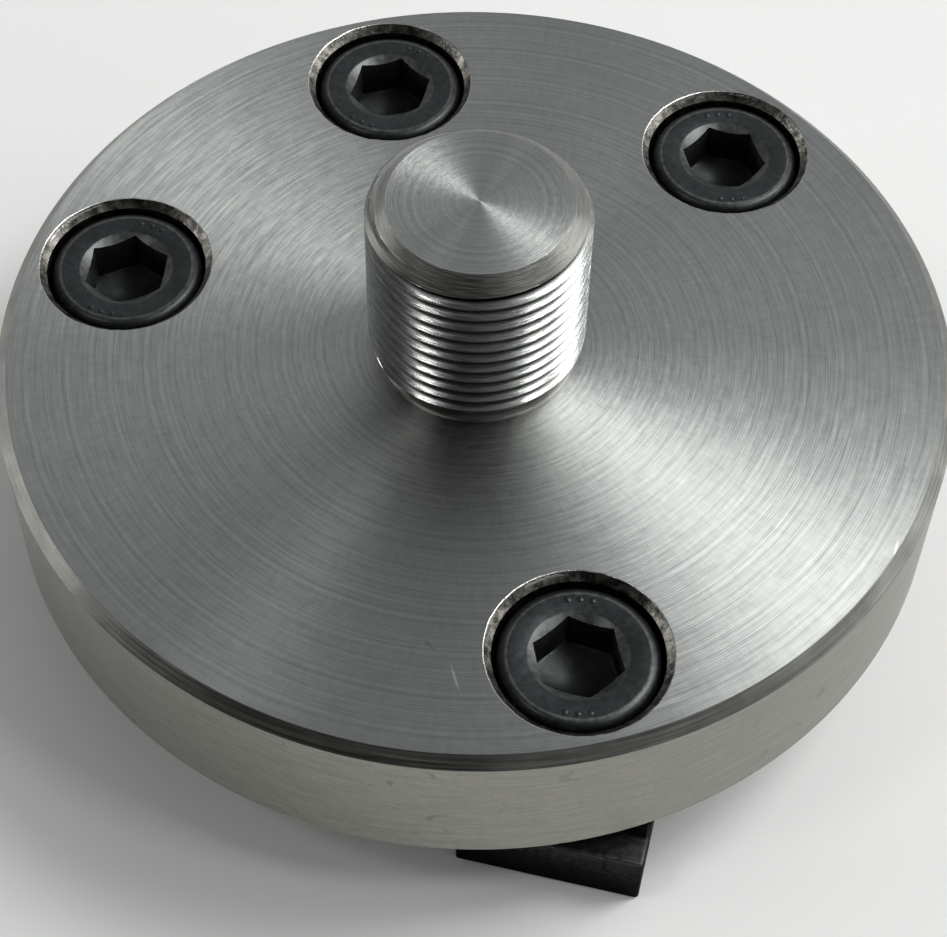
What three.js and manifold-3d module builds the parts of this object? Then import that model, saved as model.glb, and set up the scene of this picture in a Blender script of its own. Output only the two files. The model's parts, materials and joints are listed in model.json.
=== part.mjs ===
// Chuck adapter plate for a small rotary table: a turned steel disc with an upright threaded
// nose, held down by four socket-head cap screws whose T-nuts hang under the disc.
// Millimetres, +Z up the nose. The origin is the centre of the disc's underside.
import * as THREE from "three";
import { mergeVertices } from "three/addons/utils/BufferGeometryUtils.js";
import Module from "manifold-3d";

const wasm = await Module();
wasm.setup();

// ---- driving dimensions ----
const contactGap = 0.3; // left between solids that touch on the real object

const disc = {
  radius: 31,
  thickness: 11,
  topChamfer: 0.72,
  bottomChamfer: 0.3,
};

// M14 x 1 spindle nose
const nose = {
  height: 13.6,
  majorRadius: 7,
  pitch: 1,
  endChamferWidth: 1.25,
  endChamferHeight: 1.1,
  undercutRadius: 6.2,
  undercutHeight: 1.2,
  undercutSlope: 0.5,
  footFillet: 0.4,
};

// M6 x 12 socket-head cap screw
const screw = {
  headRadius: 5,
  headHeight: 6,
  headEdge: 0.5,
  headFoot: 0.25,
  socketWidth: 5,
  socketDepth: 3,
  socketMouthRadius: 3.05,
  socketConeDepth: 0.9,
  socketConeInset: 0.1,
  threadRadius: 2.525,
  length: 12,
  tipChamfer: 0.5,
};

// T-nut: a square base that runs under the table's slot lips, and a neck between them
const nut = {
  baseWidth: 12,
  length: 12,
  baseHeight: 4.7,
  neckWidth: 8,
  neckHeight: 2.5,
  edge: 0.3,
  boreRadius: 2.825,
  boreMouth: 0.4,
};

const boltCircleRadius = 24.1;
const headRecess = 0.45; // screw head top below the disc's face
const counterboreRadius = 5.25;
const counterboreChamfer = 0.5;
const clearanceRadius = 3.3;

// Three stations 120 degrees apart and one opposite the front one, so the plate fits tables with
// three or with four slots. neck is the way the nut's neck points, and corner is the way one
// corner of the hex socket points, both in degrees about +Z.
const stations = [
  { name: "front", angle: -90, neck: -28, corner: 27 },
  { name: "right", angle: 30, neck: 30, corner: 33 },
  { name: "back", angle: 90, neck: 90, corner: 0 },
  { name: "left", angle: 150, neck: 150, corner: 8 },
];

// ---- smoothness ----
const discSides = 96;
const noseSides = 28;
const holeSides = 32;
const screwSides = 32;
const boreSides = 24;
const overshoot = 1; // how far a cutter runs past the face it cuts

// A 60-degree metric thread, in pitches: its depth, and how far up its cycle each corner stands.
const threadForm = {
  depth: 0.6134,
  crestEnd: 1 / 8,
  rootStart: 7 / 16,
  rootEnd: 11 / 16,
};

// ---- derived heights ----
const seatHeight = disc.thickness - headRecess - screw.headHeight;
const counterboreFloor = seatHeight - contactGap;
const faceHeight = disc.thickness;
const noseTop = faceHeight + nose.height;
const nutTop = -contactGap;

const steelFinish = { color: 0x8b8d8b, roughness: 0.35, metalness: 1 };
const blackOxide = { color: 0x2d3030, roughness: 0.42, metalness: 0.9 };

// ---- geometry helpers ----
const radians = THREE.MathUtils.degToRad;

// A solid for joining and cutting, from a closed geometry.
function solid(geometry) {
  const bare = geometry.clone();
  bare.deleteAttribute("normal");
  bare.deleteAttribute("uv");
  const merged = mergeVertices(bare, 1e-4);
  const index = merged.index.array;
  const kept = [];
  for (let i = 0; i < index.length; i += 3) {
    const [a, b, c] = index.slice(i, i + 3);
    if (a !== b && b !== c && c !== a) kept.push(a, b, c);
  }
  const vertProperties = new Float32Array(merged.attributes.position.array);
  const triVerts = new Uint32Array(kept);
  return new wasm.Manifold(new wasm.Mesh({ numProp: 3, vertProperties, triVerts }));
}

// Back to a drawable geometry, with flat faces.
function geometryOf(body) {
  const mesh = body.getMesh();
  const geometry = new THREE.BufferGeometry();
  geometry.setAttribute("position", new THREE.BufferAttribute(mesh.vertProperties, 3));
  geometry.setIndex(new THREE.BufferAttribute(mesh.triVerts, 1));
  const flat = geometry.toNonIndexed();
  flat.computeVertexNormals();
  return flat;
}

// A turned body about +Z from [radius, height] points, listed from the bottom of the axis up.
function turned(profile, sides) {
  const points = profile.map(([radius, height]) => new THREE.Vector2(radius, height));
  return solid(new THREE.LatheGeometry(points, sides).rotateX(radians(90)));
}

function moved(body, x, y) {
  return body.translate([x, y, 0]);
}

// Points of a quarter round between two ends, bulging towards the corner they share.
function fillet(centreX, centreY, radius, fromDegrees, toDegrees, steps = 4) {
  const points = [];
  for (let i = 0; i <= steps; i += 1) {
    const angle = radians(fromDegrees + ((toDegrees - fromDegrees) * i) / steps);
    points.push([centreX + radius * Math.cos(angle), centreY + radius * Math.sin(angle)]);
  }
  return points;
}

// A right-hand 60-degree thread as one closed helical body, open-ended steps closed by caps.
function threadBody({ majorRadius, pitch, bottom, turns, sides }) {
  const minorRadius = majorRadius - threadForm.depth * pitch;
  const rows = [
    [majorRadius, 0],
    [majorRadius, threadForm.crestEnd],
    [minorRadius, threadForm.rootStart],
    [minorRadius, threadForm.rootEnd],
  ];
  const perTurn = rows.length;
  const rowCount = perTurn * turns + 1;
  const positions = [];
  for (let column = 0; column < sides; column += 1) {
    const angle = (2 * Math.PI * column) / sides;
    for (let row = 0; row < rowCount + perTurn; row += 1) {
      const [radius, rise] = rows[row % perTurn];
      const height = bottom + pitch * (Math.floor(row / perTurn) + rise + column / sides);
      positions.push(radius * Math.cos(angle), radius * Math.sin(angle), height);
    }
  }
  const stride = rowCount + perTurn;
  // The column after the last is the first one, one turn higher.
  const vertex = (column, row) => (column < sides ? column * stride + row : row + perTurn);
  const index = [];
  for (let column = 0; column < sides; column += 1) {
    for (let row = 0; row < rowCount - 1; row += 1) {
      const a = vertex(column, row);
      const b = vertex(column + 1, row);
      const c = vertex(column + 1, row + 1);
      const d = vertex(column, row + 1);
      index.push(a, b, c, a, c, d);
    }
  }
  const lowPoint = positions.length / 3;
  positions.push(0, 0, bottom);
  const highPoint = lowPoint + 1;
  positions.push(0, 0, bottom + pitch * (turns + 1));
  for (let column = 0; column < sides; column += 1) {
    index.push(lowPoint, vertex(column + 1, 0), vertex(column, 0));
    index.push(highPoint, vertex(column, rowCount - 1), vertex(column + 1, rowCount - 1));
  }
  // The step that one turn leaves at each end.
  for (let row = 0; row < perTurn; row += 1) {
    index.push(lowPoint, row, row + 1);
    const top = rowCount - 1 + row;
    index.push(highPoint, top + 1, top);
  }
  const geometry = new THREE.BufferGeometry();
  geometry.setAttribute("position", new THREE.Float32BufferAttribute(positions, 3));
  geometry.setIndex(index);
  return solid(geometry);
}

// ---- sub-parts ----
function adapterPlate() {
  const undercutTop = faceHeight + nose.undercutHeight;
  const coreTop = undercutTop + 2 * nose.pitch;
  const filletHeight = faceHeight + nose.footFillet;
  const filletRadius = nose.undercutRadius + nose.footFillet;
  const body = turned(
    [
      [0, 0],
      [disc.radius - disc.bottomChamfer, 0],
      [disc.radius, disc.bottomChamfer],
      [disc.radius, faceHeight - disc.topChamfer],
      [disc.radius - disc.topChamfer, faceHeight],
      ...fillet(filletRadius, filletHeight, nose.footFillet, 270, 180),
      [nose.undercutRadius, coreTop],
      [0, coreTop],
    ],
    discSides,
  );
  const thread = threadBody({
    majorRadius: nose.majorRadius,
    pitch: nose.pitch,
    bottom: faceHeight - nose.pitch,
    turns: Math.ceil(nose.height / nose.pitch) + 1,
    sides: noseSides,
  });
  const threadEnvelope = turned(
    [
      [0, undercutTop],
      [nose.undercutRadius - overshoot, undercutTop],
      [nose.majorRadius + overshoot, undercutTop + nose.undercutSlope + overshoot / 2],
      [nose.majorRadius + overshoot, noseTop - nose.endChamferHeight - overshoot],
      [nose.majorRadius, noseTop - nose.endChamferHeight],
      [nose.majorRadius - nose.endChamferWidth, noseTop],
      [0, noseTop],
    ],
    discSides,
  );
  const holes = turned(
    [
      [0, -overshoot],
      [clearanceRadius, -overshoot],
      [clearanceRadius, counterboreFloor],
      [counterboreRadius, counterboreFloor],
      [counterboreRadius, faceHeight - counterboreChamfer],
      [counterboreRadius + counterboreChamfer + overshoot, faceHeight + overshoot],
      [0, faceHeight + overshoot],
    ],
    holeSides,
  );
  let plate = body.add(thread.intersect(threadEnvelope));
  for (const station of stations) {
    plate = plate.subtract(moved(holes, ...centreOf(station)));
  }
  return geometryOf(plate);
}

function capScrew() {
  const headTop = screw.headHeight;
  const cornerRadius = screw.socketWidth / Math.sqrt(3);
  const socketFloor = headTop - screw.socketDepth;
  const body = turned(
    [
      [0, -screw.length],
      [screw.threadRadius - screw.tipChamfer, -screw.length],
      [screw.threadRadius, screw.tipChamfer - screw.length],
      [screw.threadRadius, 0],
      [screw.headRadius - screw.headFoot, 0],
      [screw.headRadius, screw.headFoot],
      ...fillet(screw.headRadius - screw.headEdge, headTop - screw.headEdge, screw.headEdge, 0, 90, 2),
      [0, headTop],
    ],
    screwSides,
  );
  const cutterHeight = screw.socketDepth + overshoot;
  const hexagon = new THREE.CylinderGeometry(cornerRadius, cornerRadius, cutterHeight, 6);
  hexagon.rotateX(radians(90));
  hexagon.rotateZ(radians(90)); // one corner towards +X
  hexagon.translate(0, 0, socketFloor + cutterHeight / 2);
  const mouth = turned(
    [
      [0, headTop - screw.socketMouthRadius],
      [screw.socketMouthRadius + overshoot, headTop + overshoot],
      [0, headTop + overshoot],
    ],
    screwSides,
  );
  const drillCone = turned(
    [
      [0, socketFloor - screw.socketConeDepth],
      [screw.socketWidth / 2 - screw.socketConeInset, socketFloor + screw.socketConeInset],
      [0, socketFloor + screw.socketConeInset],
    ],
    screwSides,
  );
  return geometryOf(body.subtract(solid(hexagon)).subtract(mouth).subtract(drillCone));
}

function tNut() {
  const halfBase = nut.baseWidth / 2;
  const halfNeck = nut.neckWidth / 2;
  const top = nut.baseHeight + nut.neckHeight;
  const right = [
    [halfBase - nut.edge, 0],
    [halfBase, nut.edge],
    [halfBase, nut.baseHeight - nut.edge],
    [halfBase - nut.edge, nut.baseHeight],
    [halfNeck, nut.baseHeight],
    [halfNeck, top - nut.edge],
    [halfNeck - nut.edge, top],
  ];
  const left = right.map(([x, y]) => [-x, y]).reverse();
  const outline = new THREE.Shape([...right, ...left].map(([x, y]) => new THREE.Vector2(x, y)));
  const block = new THREE.ExtrudeGeometry(outline, { depth: nut.length, bevelEnabled: false });
  block.translate(0, 0, -nut.length / 2);
  block.rotateX(radians(90));
  block.rotateZ(radians(90));
  const bore = turned(
    [
      [0, -overshoot],
      [nut.boreRadius + nut.boreMouth + overshoot, -overshoot],
      [nut.boreRadius, nut.boreMouth],
      [nut.boreRadius, top - nut.boreMouth],
      [nut.boreRadius + nut.boreMouth + overshoot, top + overshoot],
      [0, top + overshoot],
    ],
    boreSides,
  );
  return geometryOf(solid(block).subtract(bore));
}

// ---- assembly ----
function centreOf({ angle }) {
  return [boltCircleRadius * Math.cos(radians(angle)), boltCircleRadius * Math.sin(radians(angle))];
}

function piece(name, geometry, finish) {
  const mesh = new THREE.Mesh(geometry, new THREE.MeshStandardMaterial(finish));
  mesh.name = name;
  return mesh;
}

const assembly = new THREE.Group();
assembly.add(piece("adapter_plate", adapterPlate(), steelFinish));

const screwGeometry = capScrew();
const nutGeometry = tNut();
for (const station of stations) {
  const [x, y] = centreOf(station);
  const capScrewPiece = piece("cap_screw_" + station.name, screwGeometry, blackOxide);
  capScrewPiece.position.set(x, y, seatHeight);
  capScrewPiece.rotation.z = radians(station.corner);
  const nutPiece = piece("t_nut_" + station.name, nutGeometry, blackOxide);
  nutPiece.position.set(x, y, nutTop - nut.baseHeight - nut.neckHeight);
  nutPiece.rotation.z = radians(station.neck);
  assembly.add(capScrewPiece, nutPiece);
}

export default assembly;
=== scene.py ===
import json
import math

import bmesh
import bpy
from mathutils import Matrix, Quaternion, Vector, noise


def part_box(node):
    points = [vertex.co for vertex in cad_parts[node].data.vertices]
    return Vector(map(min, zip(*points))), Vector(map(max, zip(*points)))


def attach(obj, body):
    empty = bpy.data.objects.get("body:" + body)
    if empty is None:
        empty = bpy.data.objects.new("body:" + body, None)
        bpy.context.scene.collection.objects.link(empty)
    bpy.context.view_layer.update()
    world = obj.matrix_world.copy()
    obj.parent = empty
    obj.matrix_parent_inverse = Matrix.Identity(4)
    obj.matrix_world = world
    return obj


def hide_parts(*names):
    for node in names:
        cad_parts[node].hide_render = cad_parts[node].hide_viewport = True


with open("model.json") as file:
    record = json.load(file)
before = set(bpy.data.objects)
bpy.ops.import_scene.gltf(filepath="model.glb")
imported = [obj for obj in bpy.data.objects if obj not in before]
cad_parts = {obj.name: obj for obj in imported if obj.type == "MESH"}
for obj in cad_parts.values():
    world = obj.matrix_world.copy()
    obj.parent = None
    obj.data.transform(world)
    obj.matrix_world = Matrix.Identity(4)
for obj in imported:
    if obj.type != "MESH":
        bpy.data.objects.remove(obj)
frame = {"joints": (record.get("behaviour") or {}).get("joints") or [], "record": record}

bl_info = {
    "name": "Chuck adapter plate",
    "version": (1, 0, 0),
    "blender": (4, 5, 0),
    "location": "View3D > Sidebar > Adapter plate",
    "description": "Builds a turned chuck adapter plate with its cap screws and T-nuts",
    "category": "Object",
}

MM = 0.001
STATIONS = ("front", "right", "back", "left")
# The way one corner of each hex socket points, in degrees about +Z.
SOCKET_CORNERS = {"front": 27, "right": 33, "back": 0, "left": 9}


# ---------------------------------------------------------------- places, read from the frame

def mount_height(name):
    """Height of one of the record's flat mounts."""
    return next(m["pos_m"][2] for m in frame["record"]["mounts"] if m["name"] == name)


def station_centre(station):
    """Where a screw's axis stands on the disc."""
    joint = next(j for j in frame["joints"] if j["name"] == f"screw_{station}_turn")
    return Vector((joint["pos_m"][0], joint["pos_m"][1], 0))


def station_angle(station):
    centre = station_centre(station)
    return math.atan2(centre.y, centre.x)


_, PLATE_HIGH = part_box("adapter_plate")
DISC_RADIUS = PLATE_HIGH.x
FACE_HEIGHT = mount_height("chuck_register")
NOSE_TOP = mount_height("nose_end")
SCREW_LOW, SCREW_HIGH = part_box("cap_screw_back")
HEAD_RADIUS = (SCREW_HIGH.x - SCREW_LOW.x) / 2
NUT_LOW, NUT_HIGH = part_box("t_nut_back")
NUT_WIDTH = NUT_HIGH.x - NUT_LOW.x
# Gap kept under each head, so that the screw and its seat never overlap.
SEAT_GAP = 0.3 * MM
# The thread of every screw and nut is counted from one height below them all, so that they mesh.
SCREW_THREAD_DATUM = NUT_LOW.z - 3 * MM


# ---------------------------------------------------------------- settings a user would change

def length(name, description, default):
    return bpy.props.FloatProperty(
        name=name, description=description, default=default, min=0, unit="LENGTH", subtype="DISTANCE"
    )


def angle(name, description, degrees):
    return bpy.props.FloatProperty(
        name=name, description=description, default=math.radians(degrees), subtype="ANGLE"
    )


def colour(name, description, default):
    return bpy.props.FloatVectorProperty(
        name=name, description=description, default=linear(default)[:3], subtype="COLOR", min=0, max=1
    )


def linear(hex_colour):
    """An sRGB hex colour as linear red, green, blue and alpha."""
    channels = [int(hex_colour[i:i + 2], 16) / 255 for i in (1, 3, 5)]
    return tuple(c / 12.92 if c <= 0.04045 else ((c + 0.055) / 1.055) ** 2.4 for c in channels) + (1.0,)


class PlateSettings(bpy.types.PropertyGroup):
    """Sizes and colours of the turned plate."""

    rim_chamfer: length("Rim chamfer", "Width of the chamfer round the top of the rim", 0.72 * MM)
    lower_edge: length("Lower edge", "Broken edge round the underside", 0.3 * MM)
    nose_radius: length("Nose radius", "Radius over the crests of the nose thread", 7 * MM)
    thread_pitch: length("Thread pitch", "Rise of the nose thread in one turn", 1 * MM)
    undercut_radius: length("Undercut radius", "Radius of the relief groove at the nose's foot", 6.2 * MM)
    undercut_height: length("Undercut height", "Height of the relief groove", 1.2 * MM)
    foot_fillet: length("Foot fillet", "Round between the groove and the face", 0.4 * MM)
    end_radius: length("Nose end radius", "Radius of the nose's flat end", 5.75 * MM)
    end_chamfer: length("End chamfer", "Height of the chamfer at the nose's end", 1.1 * MM)
    counterbore_radius: length("Counterbore radius", "Radius of each screw's counterbore", 5.25 * MM)
    counterbore_chamfer: length("Counterbore chamfer", "Chamfer round each counterbore's mouth", 0.5 * MM)
    clearance_radius: length("Clearance radius", "Radius of the hole under each counterbore", 3.3 * MM)
    steel: colour("Steel", "Colour of the turned steel", "#a9aba8")


class ScrewSettings(bpy.types.PropertyGroup):
    """Sizes and colours of the socket-head cap screws."""

    thread_radius: length("Thread radius", "Radius over the crests of the screw's thread", 2.97 * MM)
    thread_pitch: length("Thread pitch", "Rise of the screw's thread in one turn", 1 * MM)
    head_edge: length("Head edge", "Round at the top edge of the head", 0.6 * MM)
    head_height: length("Head height", "Height of the head over its seat", 6 * MM)
    socket_width: length("Socket width", "Hex socket across its flats", 5 * MM)
    socket_depth: length("Socket depth", "Depth of the hex socket", 3 * MM)
    socket_mouth: length("Socket mouth", "Radius of the chamfer round the socket", 3.05 * MM)
    ridges: bpy.props.IntProperty(
        name="Ridges", description="Knurled ridges round the head", default=60, min=12
    )
    black: colour("Black", "Colour of the oiled black oxide", "#353738")


class NutSettings(bpy.types.PropertyGroup):
    """Sizes and colours of the T-nuts."""

    base_height: length("Base height", "Height of the nut's wide base", 4.7 * MM)
    neck_width: length("Neck width", "Width of the neck that fits the table's slot", 8 * MM)
    edge: length("Edge", "Round left on the milled edges", 0.22 * MM)
    thread_clearance: length("Thread clearance", "Play between the nut's thread and the screw's", 0.05 * MM)
    front_turn: angle("Front nut's turn", "Way the front nut's neck points, about +Z", -28)
    black: colour("Black", "Colour of the dull black oxide", "#0b0c0b")


class StageSettings(bpy.types.PropertyGroup):
    """The camera, the lights and the floor."""

    camera_distance: length("Camera distance", "From the centre of the face", 155.9 * MM)
    camera_azimuth: angle("Camera azimuth", "Way round the plate, from the front", -15.7)
    camera_elevation: angle("Camera elevation", "Above the horizon, at the centre of the face", 51.6)
    camera_aim: length("Camera aim", "How far before the face's centre the camera aims", 10.1 * MM)
    camera_roll: angle("Camera roll", "Tilt of the camera about its own axis", 1.33)
    lens: bpy.props.FloatProperty(
        name="Lens",
        description="Focal length",
        default=91.3,
        min=1,
        unit="CAMERA",
        subtype="DISTANCE_CAMERA",
    )
    floor: colour("Floor", "Colour of the floor", "#f6f6f4")


# ---------------------------------------------------------------- nodes and meshes

def add(tree, kind, inputs=None, **settings):
    """Adds one node with its settings, its input values and its links. A colour ramp takes stops."""
    made = tree.nodes.new(kind)
    stops = settings.pop("stops", None)
    for key, value in settings.items():
        setattr(made, key, value)
    for key, value in (inputs or {}).items():
        source = value.outputs[0] if isinstance(value, bpy.types.Node) else value
        if isinstance(source, bpy.types.NodeSocket):
            tree.links.new(source, made.inputs[key])
        else:
            made.inputs[key].default_value = source
    if stops:
        elements = made.color_ramp.elements
        while len(elements) < len(stops):
            elements.new(1.0)
        for element, (position, shade) in zip(elements, stops):
            element.position = position
            element.color = shade if isinstance(shade, tuple) else (shade, shade, shade, 1)
    return made


def new_object(name, mesh):
    made = bpy.data.objects.new(name, mesh)
    bpy.context.scene.collection.objects.link(made)
    return made


def at(value, turn):
    """A profile's radius or height, which may be a rule of the angle about the axis."""
    return value(turn) if callable(value) else value


def revolved(profile, columns, centre=(0, 0, 0)):
    """Faces of a turned body about +Z, from (radius, height) points that run from the bottom of the
    axis, up the outside. A radius or a height may be a rule of the angle. Faces point outwards."""
    shape = bmesh.new()
    rings = []
    for radius, height in profile:
        if not callable(radius) and radius == 0:
            rings.append([shape.verts.new((centre[0], centre[1], centre[2] + height))])
            continue
        ring = []
        for column in range(columns):
            turn = math.tau * column / columns
            reach = at(radius, turn)
            spot = (reach * math.cos(turn), reach * math.sin(turn), at(height, turn))
            ring.append(shape.verts.new([a + b for a, b in zip(centre, spot)]))
        rings.append(ring)
    for lower, upper in zip(rings, rings[1:]):
        for column in range(columns):
            corners = [
                lower[column % len(lower)],
                lower[(column + 1) % len(lower)],
                upper[(column + 1) % len(upper)],
                upper[column % len(upper)],
            ]
            shape.faces.new(list(dict.fromkeys(corners)))
    return shape


def arc(centre_radius, centre_height, radius, start, end, steps=6):
    """Points of a round in a profile, from one angle to another, in degrees."""
    turns = [math.radians(start + (end - start) * i / steps) for i in range(steps + 1)]
    return [(centre_radius + radius * math.cos(t), centre_height + radius * math.sin(t)) for t in turns]


def mesh_of(shape, name):
    """A mesh from a bmesh, with doubles merged."""
    bmesh.ops.remove_doubles(shape, verts=shape.verts, dist=2e-6)
    made = bpy.data.meshes.new(name)
    shape.to_mesh(made)
    shape.free()
    return made


def joined(name, meshes):
    """One mesh from several, merged where their rings meet."""
    shape = bmesh.new()
    for mesh in meshes:
        shape.from_mesh(mesh)
    return mesh_of(shape, name)


def evaluated(made, name):
    """The object's mesh with its modifiers applied; the object itself goes."""
    graph = bpy.context.evaluated_depsgraph_get()
    graph.update()
    mesh = bpy.data.meshes.new_from_object(made.evaluated_get(graph))
    mesh.name = name
    bpy.data.objects.remove(made)
    return mesh


def cut(mesh, cutters, name):
    """The mesh with each cutter's solid taken out of it."""
    blank = new_object("blank", mesh)
    tools = []
    for cutter in cutters:
        tool = new_object("cutter", cutter)
        tools.append(tool)
        step = blank.modifiers.new("cut", "BOOLEAN")
        step.operation = "DIFFERENCE"
        step.solver = "EXACT"
        step.object = tool
    result = evaluated(blank, name)
    for tool in tools:
        bpy.data.objects.remove(tool)
    return result


def grown(tree, start, inputs, name):
    """The mesh that a Geometry Nodes tree makes from a start mesh with these named inputs."""
    made = new_object(name, start or bpy.data.meshes.new(name))
    modifier = made.modifiers.new(name, "NODES")
    modifier.node_group = tree
    for item in tree.interface.items_tree:
        if item.item_type == "SOCKET" and item.in_out == "INPUT" and item.name in inputs:
            modifier[item.identifier] = inputs[item.name]
    return evaluated(made, name)


def tree_inputs(tree, sockets):
    """Declares a Geometry Nodes tree's named inputs and its one geometry output."""
    tree.interface.new_socket("Geometry", in_out="OUTPUT", socket_type="NodeSocketGeometry")
    for name, kind in sockets:
        tree.interface.new_socket(name, in_out="INPUT", socket_type=kind)
    return add(tree, "NodeGroupInput"), add(tree, "NodeGroupOutput")


def mark_wear_and_painted_light(mesh, rule):
    """Stores on each of the mesh's points, by a rule of its place, how far it is worn, and on the screws
    also where painted highlights and painted shade lie.
    """
    layer = mesh.attributes.new("wear_and_painted_light", "FLOAT", "POINT")
    for point, value in zip(mesh.vertices, layer.data):
        value.value = rule(point.co)


def hump(value, middle, width):
    """One at the middle, falling to nought a width away."""
    return max(0.0, 1.0 - abs(value - middle) / width)


def finished(mesh, name, body, replaced, sharp_degrees=28):
    """A piece of the object: smooth but for its sharp edges, on its body and for its CAD node.
    An edge between two finishes is sharp too, which keeps the flat faces flat."""
    mesh.shade_smooth()
    mesh.set_sharp_from_angle(angle=math.radians(sharp_degrees))
    finishes = {}
    for face in mesh.polygons:
        for edge in face.edge_keys:
            finishes.setdefault(edge, set()).add(face.material_index)
    for edge in mesh.edges:
        if len(finishes.get(edge.key, ())) > 1:
            edge.use_edge_sharp = True
    piece = new_object(name, mesh)
    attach(piece, body)
    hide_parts(replaced)
    return piece


# ---------------------------------------------------------------- Geometry Nodes trees

# Depth of a thread, as a share of its pitch.
THREAD_DEPTH = 0.6134


def thread_tree():
    """A screw thread as an open tube about +Z. Its rows climb with the helix, and the thread is cut
    down to a cone at its foot and at its end. Inside makes a nut's thread, which is opened instead."""
    tree = bpy.data.node_groups.new("screw_thread", "GeometryNodeTree")
    names = ["Radius", "Pitch", "Datum", "Bottom", "Top"]
    names += ["Foot Radius", "Foot Slope", "End Radius", "End Slope"]
    sockets = [(name, "NodeSocketFloat") for name in names]
    sockets += [(name, "NodeSocketInt") for name in ("Columns", "Turns", "Rows Per Turn")]
    sockets += [("Inside", "NodeSocketBool"), ("Material", "NodeSocketMaterial")]
    given, result = tree_inputs(tree, sockets)
    value = given.outputs

    around = add(tree, "ShaderNodeMath", {0: value["Columns"], 1: 1.0}, operation="ADD")
    rows = add(tree, "ShaderNodeMath", {0: value["Turns"], 1: value["Rows Per Turn"]}, operation="MULTIPLY")
    along = add(tree, "ShaderNodeMath", {0: rows, 1: 1.0}, operation="ADD")
    grid = add(
        tree,
        "GeometryNodeMeshGrid",
        {"Size X": 1.0, "Size Y": 1.0, "Vertices X": around, "Vertices Y": along},
    )
    place = add(tree, "ShaderNodeSeparateXYZ", {0: add(tree, "GeometryNodeInputPosition")})
    share = add(tree, "ShaderNodeMath", {0: place.outputs["X"], 1: 0.5}, operation="ADD")
    climb = add(tree, "ShaderNodeMath", {0: place.outputs["Y"], 1: 0.5}, operation="ADD")

    # Height: the row's own, plus what the helix climbs round the axis, held between bottom and top.
    row_turns = add(tree, "ShaderNodeMath", {0: climb, 1: value["Turns"]}, operation="MULTIPLY")
    turns = add(tree, "ShaderNodeMath", {0: row_turns, 1: share}, operation="ADD")
    free_height = add(
        tree, "ShaderNodeMath", {0: turns, 1: value["Pitch"], 2: value["Datum"]}, operation="MULTIPLY_ADD"
    )
    height = add(
        tree, "ShaderNodeClamp", {"Value": free_height, "Min": value["Bottom"], "Max": value["Top"]}
    )

    # Radius: the crest is an eighth and the root a quarter of the pitch wide.
    over_datum = add(tree, "ShaderNodeMath", {0: height, 1: value["Datum"]}, operation="SUBTRACT")
    in_pitches = add(tree, "ShaderNodeMath", {0: over_datum, 1: value["Pitch"]}, operation="DIVIDE")
    unwound = add(tree, "ShaderNodeMath", {0: in_pitches, 1: share}, operation="SUBTRACT")
    from_crest = add(tree, "ShaderNodeMath", {0: unwound, 1: 1 / 16}, operation="SUBTRACT")
    cycle = add(tree, "ShaderNodeMath", {0: from_crest, 1: 0.5}, operation="PINGPONG")
    fall = add(
        tree,
        "ShaderNodeMapRange",
        {"Value": cycle, "From Min": 1 / 16, "From Max": 3 / 8, "To Min": 0.0, "To Max": THREAD_DEPTH},
    )
    depth = add(tree, "ShaderNodeMath", {0: fall, 1: value["Pitch"]}, operation="MULTIPLY")
    thread = add(tree, "ShaderNodeMath", {0: value["Radius"], 1: depth}, operation="SUBTRACT")
    over_foot = add(tree, "ShaderNodeMath", {0: height, 1: value["Bottom"]}, operation="SUBTRACT")
    foot = add(
        tree,
        "ShaderNodeMath",
        {0: over_foot, 1: value["Foot Slope"], 2: value["Foot Radius"]},
        operation="MULTIPLY_ADD",
    )
    under_end = add(tree, "ShaderNodeMath", {0: value["Top"], 1: height}, operation="SUBTRACT")
    end = add(
        tree,
        "ShaderNodeMath",
        {0: under_end, 1: value["End Slope"], 2: value["End Radius"]},
        operation="MULTIPLY_ADD",
    )
    lesser = add(tree, "ShaderNodeMath", {0: foot, 1: end}, operation="MINIMUM")
    outside = add(tree, "ShaderNodeMath", {0: thread, 1: lesser}, operation="MINIMUM")
    greater = add(tree, "ShaderNodeMath", {0: foot, 1: end}, operation="MAXIMUM")
    inside = add(tree, "ShaderNodeMath", {0: thread, 1: greater}, operation="MAXIMUM")
    radius = add(
        tree,
        "GeometryNodeSwitch",
        {"Switch": value["Inside"], "False": outside, "True": inside},
        input_type="FLOAT",
    )

    turn = add(tree, "ShaderNodeMath", {0: share, 1: math.tau}, operation="MULTIPLY")
    east = add(tree, "ShaderNodeMath", {0: turn}, operation="COSINE")
    north = add(tree, "ShaderNodeMath", {0: turn}, operation="SINE")
    x = add(tree, "ShaderNodeMath", {0: east, 1: radius}, operation="MULTIPLY")
    y = add(tree, "ShaderNodeMath", {0: north, 1: radius}, operation="MULTIPLY")
    spot = add(tree, "ShaderNodeCombineXYZ", {"X": x, "Y": y, "Z": height})
    bent = add(tree, "GeometryNodeSetPosition", {"Geometry": grid, "Position": spot})
    closed = add(tree, "GeometryNodeMergeByDistance", {"Geometry": bent, "Distance": 4e-6})
    single = add(tree, "GeometryNodeRealizeInstances", {"Geometry": closed})
    coated = add(tree, "GeometryNodeSetMaterial", {"Geometry": single, "Material": value["Material"]})
    tree.links.new(coated.outputs[0], result.inputs[0])
    return tree


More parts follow.
